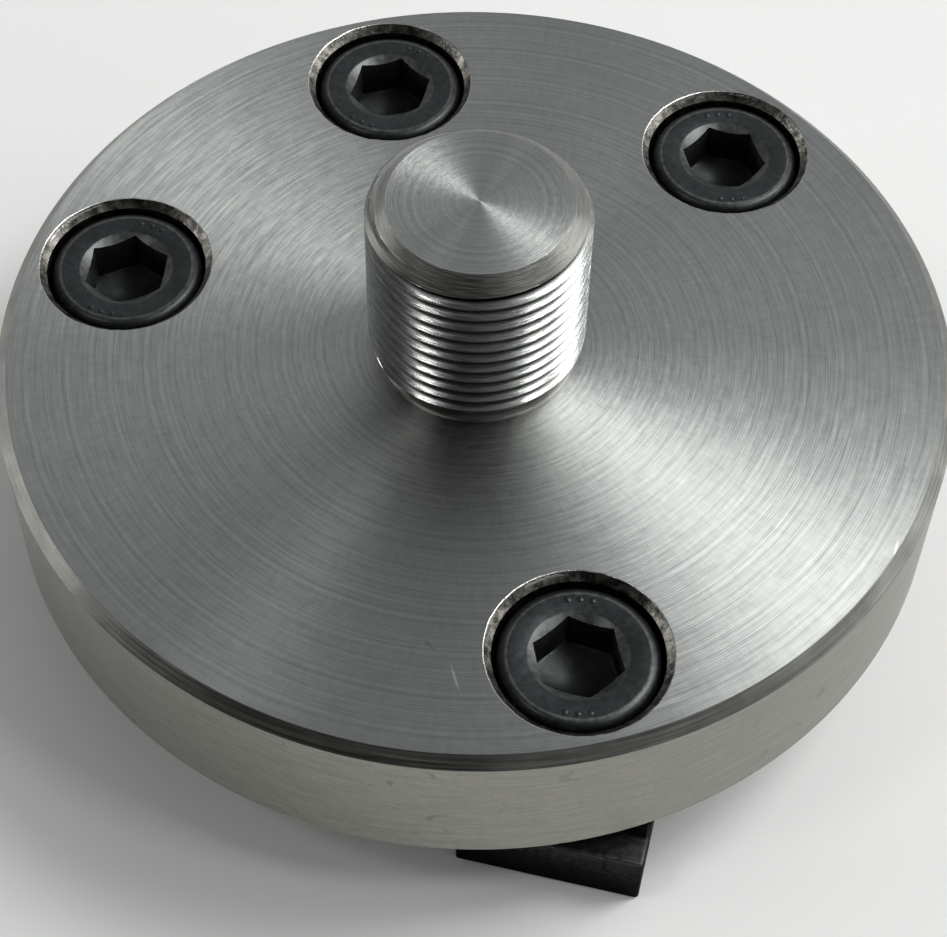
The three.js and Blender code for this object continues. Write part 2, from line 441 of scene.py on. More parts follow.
def ring_tree():
    """Copies of one small mesh on an arc about +Z, each turned to face outwards."""
    tree = bpy.data.node_groups.new("ring_of_copies", "GeometryNodeTree")
    sockets = [("Copy", "NodeSocketGeometry"), ("Count", "NodeSocketInt")]
    sockets += [(name, "NodeSocketFloat") for name in ("Radius", "Height", "Start", "Step", "Size Jitter")]
    sockets += [("Seed", "NodeSocketInt"), ("Material", "NodeSocketMaterial")]
    given, result = tree_inputs(tree, sockets)
    value = given.outputs
    points = add(tree, "GeometryNodePoints", {"Count": value["Count"]})
    number = add(tree, "GeometryNodeInputIndex")
    turn = add(
        tree, "ShaderNodeMath", {0: number, 1: value["Step"], 2: value["Start"]}, operation="MULTIPLY_ADD"
    )
    east = add(tree, "ShaderNodeMath", {0: turn}, operation="COSINE")
    north = add(tree, "ShaderNodeMath", {0: turn}, operation="SINE")
    x = add(tree, "ShaderNodeMath", {0: east, 1: value["Radius"]}, operation="MULTIPLY")
    y = add(tree, "ShaderNodeMath", {0: north, 1: value["Radius"]}, operation="MULTIPLY")
    spot = add(tree, "ShaderNodeCombineXYZ", {"X": x, "Y": y, "Z": value["Height"]})
    placed = add(tree, "GeometryNodeSetPosition", {"Geometry": points, "Position": spot})
    facing = add(tree, "ShaderNodeCombineXYZ", {"X": 0.0, "Y": 0.0, "Z": turn})
    low = add(tree, "ShaderNodeMath", {0: 1.0, 1: value["Size Jitter"]}, operation="SUBTRACT")
    high = add(tree, "ShaderNodeMath", {0: 1.0, 1: value["Size Jitter"]}, operation="ADD")
    size = add(
        tree,
        "FunctionNodeRandomValue",
        {2: low, 3: high, "Seed": value["Seed"]},
        data_type="FLOAT",
    )
    copies = add(
        tree,
        "GeometryNodeInstanceOnPoints",
        {"Points": placed, "Instance": value["Copy"], "Rotation": facing, "Scale": size.outputs[1]},
    )
    single = add(tree, "GeometryNodeRealizeInstances", {"Geometry": copies})
    coated = add(tree, "GeometryNodeSetMaterial", {"Geometry": single, "Material": value["Material"]})
    tree.links.new(coated.outputs[0], result.inputs[0])
    return tree


# ---------------------------------------------------------------- materials

# Nicks on the face: centre in millimetres, bearing in degrees, length in millimetres, shade.
NICKS = (
    (-7.6, -24.0, -89, 1.8, 1.7),
    (-8.5, -21.5, -66, 0.9, 0.72),
    (20.8, -21.8, -124, 1.2, 1.6),
)
NICK_WIDTH = 0.16
# How far the facing tool moved in one turn, in millimetres: the spacing of the finest rings.
FACING_FEED = 0.17


def new_material(name):
    """A material with an output and nothing else."""
    material = bpy.data.materials.new(name)
    material.use_nodes = True
    material.node_tree.nodes.clear()
    return material, material.node_tree


def in_mm(tree):
    """Object coordinates in millimetres."""
    spot = add(tree, "ShaderNodeTexCoord").outputs["Object"]
    return add(tree, "ShaderNodeVectorMath", {0: spot, 1: (1 / MM, 1 / MM, 1 / MM)}, operation="MULTIPLY")


def reach(tree, spot):
    """Distance from the nose's axis, in millimetres."""
    flat = add(tree, "ShaderNodeVectorMath", {0: spot, 1: (1, 1, 0)}, operation="MULTIPLY")
    return add(tree, "ShaderNodeVectorMath", {0: flat}, operation="LENGTH").outputs["Value"]


def turning_marks(tree, spot, around, across, detail=4.0):
    """Noise drawn out along the lathe's cut: around is how often it changes in a radian about the
    axis, and across how often in a millimetre across the cut."""
    flat = add(tree, "ShaderNodeVectorMath", {0: spot, 1: (1, 1, 0)}, operation="MULTIPLY")
    bearing = add(tree, "ShaderNodeVectorMath", {0: flat}, operation="NORMALIZE")
    turned = add(tree, "ShaderNodeVectorMath", {0: bearing, 1: (around, around, 0)}, operation="MULTIPLY")
    height = add(tree, "ShaderNodeSeparateXYZ", {0: spot}).outputs["Z"]
    feed = add(tree, "ShaderNodeMath", {0: reach(tree, spot), 1: height}, operation="SUBTRACT")
    step = add(tree, "ShaderNodeMath", {0: feed, 1: across}, operation="MULTIPLY")
    lift = add(tree, "ShaderNodeCombineXYZ", {"X": 0.0, "Y": 0.0, "Z": step})
    place = add(tree, "ShaderNodeVectorMath", {0: turned, 1: lift}, operation="ADD")
    return add(tree, "ShaderNodeTexNoise", {"Vector": place, "Scale": 1.0, "Detail": detail}).outputs[0]


def spread(tree, value, low, high, start=0.3, end=0.7, over=1.0):
    """A noise value spread from start..end to low..high, and laid over a shade."""
    wide = add(
        tree,
        "ShaderNodeMapRange",
        {"Value": value, "From Min": start, "From Max": end, "To Min": low, "To Max": high},
    )
    return add(tree, "ShaderNodeMath", {0: wide, 1: over}, operation="MULTIPLY")


def metal(tree, base, shade, roughness, bump, **extra):
    """A bare metal surface, its colour made lighter or darker by a shade, wired to the output."""
    tinted = add(
        tree,
        "ShaderNodeMix",
        {"Factor": 1.0, "A": base, "B": shade},
        data_type="RGBA",
        blend_type="MULTIPLY",
    ).outputs["Result"]
    inputs = {"Base Color": tinted, "Metallic": 1.0, "Roughness": roughness, "Normal": bump, **extra}
    surface = add(tree, "ShaderNodeBsdfPrincipled", inputs)
    add(tree, "ShaderNodeOutputMaterial", {"Surface": surface})


def stained(steel, stain):
    """The steel's colour seen through a thin stain."""
    return tuple(a * b for a, b in zip((*steel, 1), linear(stain)))


def nicked(tree, spot, over, x, y, degrees, long, shade):
    """Lays one short straight mark over the face's shade: its centre in millimetres, the way it
    runs, its length, and how much lighter or darker than the steel it is."""
    moved = add(tree, "ShaderNodeVectorMath", {0: spot, 1: (x, y, FACE_HEIGHT / MM)}, operation="SUBTRACT")
    along = add(tree, "ShaderNodeVectorRotate", {"Vector": moved, "Angle": -math.radians(degrees)})
    size = (1 / long, 1 / NICK_WIDTH, 1)
    drawn = add(tree, "ShaderNodeVectorMath", {0: along, 1: size}, operation="MULTIPLY")
    away = add(tree, "ShaderNodeVectorMath", {0: drawn}, operation="LENGTH").outputs["Value"]
    return spread(tree, away, shade, 1.0, 0.3, 0.6, over)


def faced_steel(steel):
    """Mild steel faced in the lathe: the tool leaves fine rings about the axis, so light spreads
    across them in bright fans, short arcs of the rings differ in sheen, a faint hatch from the
    tool's chatter lies across them, and a few nicks mark the face."""
    material, tree = new_material("faced_steel")
    spot = in_mm(tree)
    radius = reach(tree, spot)
    rings = add(
        tree, "ShaderNodeTexNoise", {"W": radius, "Scale": 3.4, "Detail": 3.0}, noise_dimensions="1D"
    )
    arcs = turning_marks(tree, spot, 11.0, 6.0, 2.0)
    cloud = add(tree, "ShaderNodeTexNoise", {"Vector": spot, "Scale": 0.12, "Detail": 5.0})
    hatch = turning_marks(tree, spot, 70.0, 1.0, 2.0)
    phase = add(tree, "ShaderNodeMath", {0: radius, 1: math.tau / FACING_FEED}, operation="MULTIPLY")
    groove = add(tree, "ShaderNodeMath", {0: phase}, operation="SINE")
    shade = spread(tree, rings.outputs[0], 0.88, 1.08)
    shade = spread(tree, arcs, 0.9, 1.08, over=shade)
    shade = spread(tree, hatch, 0.95, 1.05, over=shade)
    shade = spread(tree, groove, 0.93, 1.05, -1.0, 1.0, shade)
    for nick in NICKS:
        shade = nicked(tree, spot, shade, *nick)
    roughness = spread(tree, arcs, 0.29, 0.36)
    roughness = spread(tree, cloud.outputs[0], 0.98, 1.14, over=roughness)
    feed = add(tree, "ShaderNodeBump", {"Height": groove, "Strength": 1.0, "Distance": 1.2e-6})
    bump = add(
        tree,
        "ShaderNodeBump",
        {"Height": rings.outputs[0], "Strength": 1.0, "Distance": 4e-6, "Normal": feed},
    )
    tangent = add(tree, "ShaderNodeTangent", direction_type="RADIAL", axis="Z")
    directed = {"Anisotropic": 0.9, "Anisotropic Rotation": 0.25, "Tangent": tangent}
    metal(tree, (*steel, 1), shade, roughness, bump, **directed)
    return material


def turned_rim_steel(steel):
    """The same steel on the disc's side: turned with a broad tool, then dulled and mottled by
    handling, with a few darker rubs."""
    material, tree = new_material("turned_rim_steel")
    spot = in_mm(tree)
    arcs = turning_marks(tree, spot, 9.0, 3.5)
    mottle = add(
        tree, "ShaderNodeTexNoise", {"Vector": spot, "Scale": 2.2, "Detail": 7.0, "Roughness": 0.68}
    )
    rubs = add(tree, "ShaderNodeTexNoise", {"Vector": spot, "Scale": 0.7, "Detail": 5.0, "Distortion": 0.4})
    shade = spread(tree, arcs, 0.87, 1.07)
    shade = spread(tree, mottle.outputs[0], 0.9, 1.06, 0.38, 0.62, shade)
    shade = spread(tree, rubs.outputs[0], 0.72, 1.0, 0.28, 0.35, shade)
    roughness = spread(tree, mottle.outputs[0], 0.31, 0.43)
    bump = add(tree, "ShaderNodeBump", {"Height": mottle.outputs[0], "Strength": 0.5, "Distance": 1.5e-5})
    metal(tree, stained(steel, "#e0dcd5"), shade, roughness, bump)
    return material


def cut_edge_steel(steel):
    """Chamfers and the relief groove, cut by the side of a tool: streaks run round them, and their colour
    is painted dark throughout as a painted dark reflection on the chamfers and painted shade in the groove.
    """
    material, tree = new_material("cut_edge_steel")
    spot = in_mm(tree)
    streaks = turning_marks(tree, spot, 4.0, 9.0)
    patches = add(tree, "ShaderNodeTexNoise", {"Vector": spot, "Scale": 0.35, "Detail": 3.0})
    # Painted dark reflection and shade: the streaks hold the colour between about a third and two thirds.
    shade = spread(tree, streaks, 0.36, 0.68)
    shade = spread(tree, patches.outputs[0], 0.7, 1.1, over=shade)
    bump = add(tree, "ShaderNodeBump", {"Height": streaks, "Strength": 0.8, "Distance": 2e-5})
    metal(tree, stained(steel, "#fdfaf6"), shade, spread(tree, streaks, 0.32, 0.46), bump)
    return material


def end_slope(settings):
    """How fast the nose widens down its end chamfer."""
    return (settings.nose_radius - settings.end_radius) / settings.end_chamfer


def threaded_steel(settings):
    """The nose's thread, cut with a single point: its colour is painted darker with depth below the crests,
    as painted shade in the roots, so the crests stand bright. Depth is counted from the end chamfer's cone
    where that cuts the crests."""
    material, tree = new_material("threaded_steel")
    spot = in_mm(tree)
    streaks = turning_marks(tree, spot, 6.0, 6.0)
    slope = end_slope(settings)
    height = add(tree, "ShaderNodeSeparateXYZ", {0: spot}).outputs["Z"]
    cone = add(
        tree,
        "ShaderNodeMath",
        {0: height, 1: -slope, 2: (settings.end_radius + NOSE_TOP * slope) / MM},
        operation="MULTIPLY_ADD",
    )
    crest = add(tree, "ShaderNodeMath", {0: cone, 1: settings.nose_radius / MM}, operation="MINIMUM")
    depth = add(tree, "ShaderNodeMath", {0: crest, 1: reach(tree, spot)}, operation="SUBTRACT")
    pitch = settings.thread_pitch / MM
    # Painted shade: the colour falls from full at the crests to almost black in the roots.
    painted_root_shade = spread(tree, depth, 1.0, 0.02, 0.17 * pitch, 0.48 * pitch)
    shade = spread(tree, streaks, 0.75, 1.25, over=painted_root_shade)
    bump = add(tree, "ShaderNodeBump", {"Height": streaks, "Strength": 0.6, "Distance": 2e-5})
    metal(tree, (*settings.steel, 1), shade, spread(tree, painted_root_shade, 0.55, 0.19, 0.0, 1.0), bump)
    return material


def bored_steel(steel):
    """Counterbore walls and mouths: torn and mottled by the piloted cutter, and painted much darker
    throughout as the shade that lies in the bores.
    """
    material, tree = new_material("bored_steel")
    spot = in_mm(tree)
    torn = add(tree, "ShaderNodeTexNoise", {"Vector": spot, "Scale": 1.3, "Detail": 8.0, "Roughness": 0.62})
    fine = add(tree, "ShaderNodeTexNoise", {"Vector": spot, "Scale": 5.0, "Detail": 5.0})
    # Painted shade: the low range darkens the bores as shade; the noise gives the torn mottling.
    shade = spread(tree, torn.outputs[0], 0.14, 0.72, 0.4, 0.62)
    shade = spread(tree, fine.outputs[0], 0.75, 1.1, over=shade)
    bump = add(tree, "ShaderNodeBump", {"Height": fine.outputs[0], "Strength": 0.7, "Distance": 5e-5})
    metal(tree, stained(steel, "#f4ece4"), shade, 0.34, bump)
    return material


def burr_steel():
    """Bright steel where a burr has been raised and rubbed."""
    material, tree = new_material("bright_burr_steel")
    spot = in_mm(tree)
    fine = add(tree, "ShaderNodeTexNoise", {"Vector": spot, "Scale": 6.0, "Detail": 4.0})
    bump = add(tree, "ShaderNodeBump", {"Height": fine.outputs[0], "Strength": 0.8, "Distance": 4e-5})
    surface = add(
        tree,
        "ShaderNodeBsdfPrincipled",
        {"Base Color": linear("#b6b6b4"), "Metallic": 1.0, "Roughness": 0.3, "Normal": bump},
    )
    add(tree, "ShaderNodeOutputMaterial", {"Surface": surface})
    return material


def black_oxide_steel(name, black, roughness, bump_depth, sheen):
    """Alloy steel blackened in hot salts and oiled: a thin dark skin with a low sheen. The mesh's point
    attribute says where the skin is rubbed through to grey steel, and on the screws also where painted
    highlights of grey steel lie; below nought it lays painted shade, on the screws' socket floors."""
    material, tree = new_material(name)
    spot = in_mm(tree)
    texture = {"Vector": spot, "Scale": 2.2, "Detail": 7.0, "Roughness": 0.6}
    grain = add(tree, "ShaderNodeTexNoise", texture).outputs[0]
    blotch = add(tree, "ShaderNodeTexNoise", {"Vector": spot, "Scale": 0.7, "Detail": 4.0}).outputs[0]
    wear_and_painted_light = add(tree, "ShaderNodeAttribute", attribute_name="wear_and_painted_light").outputs["Fac"]
    shade = spread(tree, grain, 0.8, 1.25)
    shade = spread(tree, blotch, 0.85, 1.15, over=shade)
    # Painted shade: below nought the attribute darkens the skin, on the screws' socket floors.
    shade = spread(tree, wear_and_painted_light, 0.1, 1.0, -1.0, 0.0, shade)
    skin = add(tree, "ShaderNodeVectorMath", {0: shade, 1: black}, operation="MULTIPLY")
    # Grey steel shows where the attribute is above nought: real rubs on the nuts and the screws' shanks,
    # painted highlights round the screws' heads and socket mouths.
    patchy = spread(tree, grain, 0.35, 1.3, over=wear_and_painted_light)
    bare_and_painted_highlight = add(
        tree, "ShaderNodeMix", {"Factor": patchy, "A": skin, "B": linear("#8d8e8c")}, data_type="RGBA"
    )
    gloss = spread(tree, grain, roughness - 0.05, roughness + 0.08)
    bump = add(tree, "ShaderNodeBump", {"Height": grain, "Strength": 0.6, "Distance": bump_depth})
    surface = add(
        tree,
        "ShaderNodeBsdfPrincipled",
        {
            "Base Color": bare_and_painted_highlight.outputs["Result"],
            "Metallic": 0.8,
            "Roughness": gloss,
            "Specular IOR Level": 0.5 * sheen,
            "Specular Tint": (sheen, sheen, sheen, 1),
            "Normal": bump,
        },
    )
    add(tree, "ShaderNodeOutputMaterial", {"Surface": surface})
    return material


def pale_floor(floor):
    """Matt painted board under the part."""
    material, tree = new_material("pale_painted_board")
    grain = add(tree, "ShaderNodeTexNoise", {"Vector": in_mm(tree), "Scale": 0.9, "Detail": 3.0})
    bump = add(tree, "ShaderNodeBump", {"Height": grain.outputs[0], "Strength": 0.1, "Distance": 2e-5})
    surface = add(
        tree,
        "ShaderNodeBsdfPrincipled",
        {"Base Color": (*floor, 1), "Roughness": 0.85, "Normal": bump},
    )
    add(tree, "ShaderNodeOutputMaterial", {"Surface": surface})
    return material


# ---------------------------------------------------------------- pieces

# Columns round each turned surface, and rows in one turn of a thread.
PLATE_COLUMNS = 192
BORE_COLUMNS = 96
SCREW_COLUMNS = 120
ROWS_PER_TURN = 16
# How far a cutting solid runs past the surface that it cuts.
OVERSHOOT = 0.5 * MM
# How fast the nose's thread rises out of the relief groove.
UNDERCUT_SLOPE = 1.6
# How far a screw's core lies under its crests, as a share of the pitch: just below the root.
CORE_DEPTH = 0.64
# The bright burr round each counterbore's mouth, and how far the mouth's edge wanders.
BURR_WIDTH = 0.06 * MM
CHATTER = 0.05 * MM


def threaded(columns, radius, pitch, datum, bottom, top, foot, end, inside=False):
    """The mesh of one thread. foot and end are (radius, slope) of the cones that cut its two ends."""
    tree = bpy.data.node_groups.get("screw_thread") or thread_tree()
    inputs = {
        "Radius": radius,
        "Pitch": pitch,
        "Datum": datum,
        "Bottom": bottom,
        "Top": top,
        "Foot Radius": foot[0],
        "Foot Slope": foot[1],
        "End Radius": end[0],
        "End Slope": end[1],
        "Columns": columns,
        "Turns": math.ceil((top - datum) / pitch),
        "Rows Per Turn": ROWS_PER_TURN,
        "Inside": inside,
    }
    return grown(tree, None, inputs, "thread")


def plate_blank(settings):
    """The turned plate before its holes are bored."""
    fillet_radius = settings.undercut_radius + settings.foot_fillet
    groove_top = FACE_HEIGHT + settings.undercut_height
    disc = revolved(
        [
            (0, 0),
            (DISC_RADIUS - settings.lower_edge, 0),
            (DISC_RADIUS, settings.lower_edge),
            (DISC_RADIUS, FACE_HEIGHT - settings.rim_chamfer),
            (DISC_RADIUS - settings.rim_chamfer, FACE_HEIGHT),
            *arc(fillet_radius, FACE_HEIGHT + settings.foot_fillet, settings.foot_fillet, 270, 180),
            (settings.undercut_radius, groove_top),
        ],
        PLATE_COLUMNS,
    )
    thread = threaded(
        PLATE_COLUMNS,
        settings.nose_radius,
        settings.thread_pitch,
        FACE_HEIGHT - settings.thread_pitch,
        groove_top,
        NOSE_TOP,
        (settings.undercut_radius, UNDERCUT_SLOPE),
        (settings.end_radius, end_slope(settings)),
    )
    end = revolved([(settings.end_radius, NOSE_TOP), (0, NOSE_TOP)], PLATE_COLUMNS)
    return joined("plate", [mesh_of(disc, "disc"), thread, mesh_of(end, "end")])


def counterbore(settings, station):
    """The solid that a piloted counterbore takes out at one station."""
    floor = SCREW_HIGH.z - bpy.context.scene.adapter_screws.head_height - SEAT_GAP
    mouth = settings.counterbore_radius + settings.counterbore_chamfer
    corner = 0.2 * MM
    ripples = 9
    seed = STATIONS.index(station) * 7.3

    def chattered(beyond):
        return lambda turn: mouth + beyond + CHATTER * noise.noise(
            Vector((ripples * math.cos(turn), ripples * math.sin(turn), seed))
        )

    shape = revolved(
        [
            (0, -OVERSHOOT),
            (settings.clearance_radius, -OVERSHOOT),
            (settings.clearance_radius, floor),
            *arc(settings.counterbore_radius - corner, floor + corner, corner, -90, 0, 3),
            (settings.counterbore_radius, FACE_HEIGHT - settings.counterbore_chamfer),
            (chattered(-BURR_WIDTH), FACE_HEIGHT - BURR_WIDTH / 2),
            (chattered(OVERSHOOT), FACE_HEIGHT + OVERSHOOT / 2),
            (0, FACE_HEIGHT + OVERSHOOT / 2),
        ],
        BORE_COLUMNS,
        station_centre(station),
    )
    return mesh_of(shape, "bore")


def plate_finish(centre, normal, settings):
    """The name of the finish that one of the plate's faces has."""
    radius = math.hypot(centre.x, centre.y)
    slack = 0.02 * MM
    if any(abs(centre.z - height) < slack / 2 for height in (0, FACE_HEIGHT, NOSE_TOP)):
        return "faced"
    if radius > DISC_RADIUS - slack:
        return "rim"
    if radius > DISC_RADIUS - settings.rim_chamfer:
        return "cut edge"
    tilted = abs(normal.z) > 0.3
    if centre.z > NOSE_TOP - settings.end_chamfer and tilted:
        cone = settings.end_radius + (NOSE_TOP - centre.z) * end_slope(settings)
        return "cut edge" if radius > cone - 3 * slack else "threaded"
    if centre.z > FACE_HEIGHT + settings.undercut_height - slack:
        return "threaded"
    if centre.z > FACE_HEIGHT:
        return "cut edge"
    if centre.z > FACE_HEIGHT - BURR_WIDTH / 2 - slack:
        return "burr"
    return "bored"


def shard_mesh():
    """A sliver of steel, drawn out along Y, with its corners in millimetres."""
    shape = bmesh.new()
    corners = [
        (-0.1, -0.34, -0.03),
        (0.09, -0.2, -0.06),
        (0.1, 0.16, -0.05),
        (-0.08, 0.36, -0.02),
        (-0.02, -0.05, 0.07),
        (0.02, 0.12, 0.05),
    ]
    points = [shape.verts.new([c * MM for c in corner]) for corner in corners]
    bmesh.ops.convex_hull(shape, input=points)
    return mesh_of(shape, "shard")


def shards(settings, station, bearing, sweep, count, seed):
    """Torn steel on the chamfer of one counterbore's mouth: a sweep of degrees about a bearing."""
    out = settings.counterbore_chamfer * 0.72
    down = settings.counterbore_chamfer * 0.26
    step = math.radians(sweep) / count
    start = math.radians(bearing) - step * count / 2
    radius = settings.counterbore_radius + out
    height = FACE_HEIGHT - down
    mesh = ring_of(shard_mesh(), count, radius, height, start, step, seed, jitter=0.45)
    mesh.transform(Matrix.Translation(station_centre(station)))
    return mesh


class ADAPTER_OT_plate(bpy.types.Operator):
    """Turn the disc and its threaded nose, and bore its four holes"""

    bl_idname = "adapter.plate"
    bl_label = "Plate"

    def execute(self, context):
        settings = context.scene.adapter_plate
        blank = plate_blank(settings)
        mesh = cut(blank, [counterbore(settings, station) for station in STATIONS], "turned_plate")
        finishes = {
            "faced": faced_steel(settings.steel),
            "rim": turned_rim_steel(settings.steel),
            "cut edge": cut_edge_steel(settings.steel),
            "threaded": threaded_steel(settings),
            "bored": bored_steel(settings.steel),
            "burr": burr_steel(),
        }
        mesh.materials.clear()
        for material in finishes.values():
            mesh.materials.append(material)
        order = list(finishes)
        for face in mesh.polygons:
            face.material_index = order.index(plate_finish(face.center, face.normal, settings))
        finished(mesh, "turned_plate", "plate", "adapter_plate")

        torn = joined(
            "mouth_burrs",
            [
                shards(settings, "left", 122, 46, 15, 1),
                shards(settings, "right", 60, 20, 5, 2),
                shards(settings, "front", 100, 24, 4, 3),
            ],
        )
        torn.materials.clear()
        torn.materials.append(finishes["burr"])
        finished(torn, "mouth_burrs", "plate", "adapter_plate")
        return {"FINISHED"}


def ridge_mesh():
    """One straight knurled ridge, its foot sunk in the head's side."""
    shape = bmesh.new()
    half = 0.17 * MM
    rise = 0.09 * MM
    tall = 4.9 * MM
    foot = 0.1 * MM
    bevel = 0.2 * MM
    outline = [(-foot, -half), (rise, 0), (-foot, half)]
    low = [shape.verts.new((x, y, bevel if x > 0 else 0)) for x, y in outline]
    high = [shape.verts.new((x, y, tall - bevel if x > 0 else tall)) for x, y in outline]
    shape.faces.new(reversed(low))
    shape.faces.new(high)
    for i in range(3):
        j = (i + 1) % 3
        shape.faces.new((low[i], low[j], high[j], high[i]))
    return mesh_of(shape, "ridge")


def pip_mesh():
    """One low round pip, a plain mark that stands on a screw's head."""
    radius = 0.22 * MM
    flattening = 0.35
    shape = bmesh.new()
    bmesh.ops.create_uvsphere(shape, u_segments=12, v_segments=6, radius=radius)
    bmesh.ops.scale(shape, verts=shape.verts, vec=(1, 1, flattening))
    return mesh_of(shape, "pip")


def ring_of(copy, count, radius, height, start, step, seed, jitter=0.08):
    """The mesh of copies set on an arc about +Z. Start and step are in radians, and jitter is how
    far a copy's size may stray, as a share of it."""
    tree = bpy.data.node_groups.get("ring_of_copies") or ring_tree()
    inputs = {
        "Count": count,
        "Radius": radius,
        "Height": height,
        "Start": start,
        "Step": step,
        "Size Jitter": jitter,
        "Seed": seed,
    }
    return grown(tree, copy, inputs, "ring")


def screw_mesh(settings, station):
    """One cap screw about its own axis at the station: thread, head, socket, knurl and pips."""
    centre = station_centre(station)
    top = SCREW_HIGH.z
    tip = SCREW_LOW.z
    seat = top - settings.head_height
    core = settings.thread_radius - CORE_DEPTH * settings.thread_pitch
    tip_radius = core - 0.05 * MM
    corner = math.radians(SOCKET_CORNERS[station])
    half_width = settings.socket_width / 2
    foot_chamfer = 0.25 * MM
    collar = 0.35 * MM
    side = HEAD_RADIUS - 0.05 * MM
    mouth_slope = 0.62
    tip_slope = 1.0
    runout_slope = 0.7
    plain_shank = 0.9 * MM
    knurl_foot = seat + 0.35 * MM
    pip_circle = 3.95 * MM
    pip_lead = math.radians(35)
    pip_step = math.radians(11)

    def wall(turn):
        sector = (turn - corner) % (math.pi / 3) - math.pi / 6
        return half_width / math.cos(sector)

    def mouth_height(turn):
        return top - (settings.socket_mouth - wall(turn)) * mouth_slope

    socket_floor = top - settings.socket_depth
    thread_top = seat - plain_shank
    shank = threaded(
        SCREW_COLUMNS,
        settings.thread_radius,
        settings.thread_pitch,
        SCREW_THREAD_DATUM,
        tip,
        thread_top,
        (tip_radius, tip_slope),
        (core, runout_slope),
    )
    tip_face = revolved([(0, tip), (tip_radius, tip)], SCREW_COLUMNS)
    head = revolved(
        [
            (core, thread_top),
            (core, seat - collar),
            *arc(core + collar, seat - collar, collar, 180, 90, 4),
            (side - foot_chamfer, seat),
            (side, seat + foot_chamfer),
            (side, top - settings.head_edge),
            *arc(side - settings.head_edge, top - settings.head_edge, settings.head_edge, 0, 90, 6)[1:],
            (side - settings.head_edge - 0.1 * MM, top),
            (settings.socket_mouth + 0.08 * MM, top),
            (settings.socket_mouth, top - 0.03 * MM),
            (wall, mouth_height),
            (wall, socket_floor),
            (half_width - 0.15 * MM, socket_floor - 0.05 * MM),
            (half_width * 0.5, socket_floor - 0.5 * MM),
            (0, socket_floor - 0.8 * MM),
        ],
        SCREW_COLUMNS,
    )
    body = joined("screw", [mesh_of(tip_face, "tip"), shank, mesh_of(head, "head")])
    knurl = ring_of(ridge_mesh(), settings.ridges, side, knurl_foot, 0, math.tau / settings.ridges, 3)
    pips = []
    for group in range(2):
        start = corner + pip_lead + group * math.pi
        pips.append(ring_of(pip_mesh(), 3, pip_circle, top, start, pip_step, group))
    mesh = joined("socket_screw", [body, knurl, *pips])
    rounding = side - settings.head_edge

    # Painted shade on the socket's floor; painted highlights round its mouth and along the head's round;
    # rubs on the shank.
    def wear_and_painted_light(place):
        radius = math.hypot(place.x, place.y)
        if radius < half_width and place.z < socket_floor + 0.05 * MM:
            return -0.75
        if radius < settings.socket_mouth + 0.02 * MM and place.z > top - 0.5 * MM:
            return 0.22
        if place.z < seat:
            return 0.1
        return 0.6 * hump(radius, rounding + 0.04 * MM, 0.12 * MM) * (place.z > top - 0.2 * MM)

    mark_wear_and_painted_light(mesh, wear_and_painted_light)
    mesh.transform(Matrix.Translation(centre))
    return mesh


class ADAPTER_OT_screws(bpy.types.Operator):
    """Make the four socket-head cap screws"""

    bl_idname = "adapter.screws"
    bl_label = "Cap screws"

    def execute(self, context):
        settings = context.scene.adapter_screws
        black = black_oxide_steel("oiled_black_oxide_steel", settings.black, 0.34, 1.2e-5, 1.0)
        for station in STATIONS:
            mesh = screw_mesh(settings, station)
            mesh.materials.clear()
            mesh.materials.append(black)
            name = f"socket_screw_{station}"
            finished(mesh, name, f"screw_{station}", f"cap_screw_{station}")
        return {"FINISHED"}


def nut_blank(settings):
    """The milled T-shaped block, its neck along +X and its base's centre on the origin."""
    half_base = NUT_WIDTH / 2
    half_neck = settings.neck_width / 2
    top = NUT_HIGH.z - NUT_LOW.z
    ledge = settings.base_height
    right = [(half_base, 0), (half_base, ledge), (half_neck, ledge), (half_neck, top)]
    outline = right + [(-y, z) for y, z in reversed(right)]
    shape = bmesh.new()
    ends = []
    for x in (-half_base, half_base):
        ends.append([shape.verts.new((x, y, z)) for y, z in outline])
    shape.faces.new(reversed(ends[0]))
    shape.faces.new(ends[1])
    for i in range(len(outline)):
        j = (i + 1) % len(outline)
        shape.faces.new((ends[0][i], ends[0][j], ends[1][j], ends[1][i]))
    bmesh.ops.recalc_face_normals(shape, faces=shape.faces)
    blank = new_object("nut_blank", mesh_of(shape, "nut_blank"))
    rounding = blank.modifiers.new("edges", "BEVEL")
    rounding.width = settings.edge
    rounding.segments = 3
    rounding.limit_method = "ANGLE"
    return evaluated(blank, "nut_blank")


def nut_tap(settings, screws):
    """The solid that drilling, countersinking and tapping take out of a nut, about +Z."""
    bottom = NUT_LOW.z - OVERSHOOT
    top = NUT_HIGH.z + OVERSHOOT
    countersink = 0.25 * MM
    mouth = screws.thread_radius + countersink + OVERSHOOT
    thread = threaded(
        BORE_COLUMNS,
        screws.thread_radius + settings.thread_clearance,
        screws.thread_pitch,
        SCREW_THREAD_DATUM,
        bottom,
        top,
        (mouth, -1.0),
        (mouth, -1.0),
        inside=True,
    )
    low_cap = revolved([(0, bottom), (mouth, bottom)], BORE_COLUMNS)
    high_cap = revolved([(mouth, top), (0, top)], BORE_COLUMNS)
    return joined("tap", [mesh_of(low_cap, "low"), thread, mesh_of(high_cap, "high")])


def nut_wear(settings, turn):
    """Where a nut's black skin is broken: in patches along the upper edges of its base."""
    ledge = NUT_LOW.z + settings.base_height
    square = Matrix.Rotation(-turn, 4, "Z")

    def wear_and_painted_light(place):
        local = square @ place
        from_side = NUT_WIDTH / 2 - max(abs(local.x), abs(local.y))
        near_edge = hump(from_side, 0, 0.3 * MM) * hump(place.z, ledge, 0.35 * MM)
        return near_edge * (0.35 + 0.65 * abs(noise.noise(place * 1600)))

    return wear_and_painted_light


